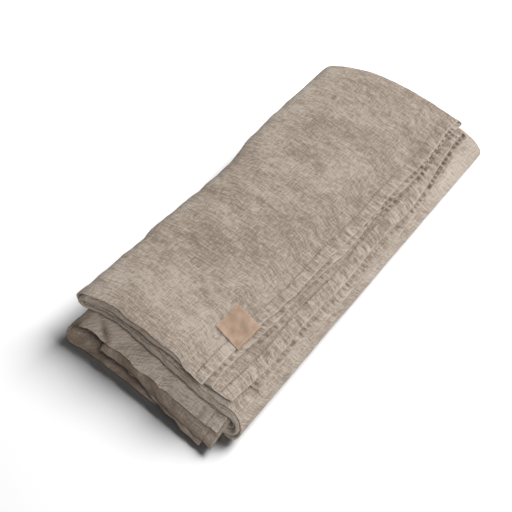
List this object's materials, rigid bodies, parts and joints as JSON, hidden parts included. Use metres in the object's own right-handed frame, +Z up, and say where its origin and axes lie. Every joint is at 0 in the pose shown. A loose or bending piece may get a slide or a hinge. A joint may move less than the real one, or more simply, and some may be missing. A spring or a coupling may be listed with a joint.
{
  "type": "folded tablecloth",
  "caption": "Linen tablecloth folded back and forth into a long flat bundle, hemmed edges stepped along one side, with a small sewn label.",
  "frame": {"origin": "on the resting surface, under the middle of the bundle", "axes": "+Y along the bundle towards its far folded end, +X across it towards the side with the large smooth fold, +Z up"},
  "size_m": [0.194, 0.4324, 0.0543],
  "materials": {
    "linen": "washed natural linen in plain weave, matte",
    "label": "smooth pale tan, matte"
  },
  "bodies": {
    "root": {"tablecloth": "linen", "sewn_label": "label"}
  },
  "joints": []
}
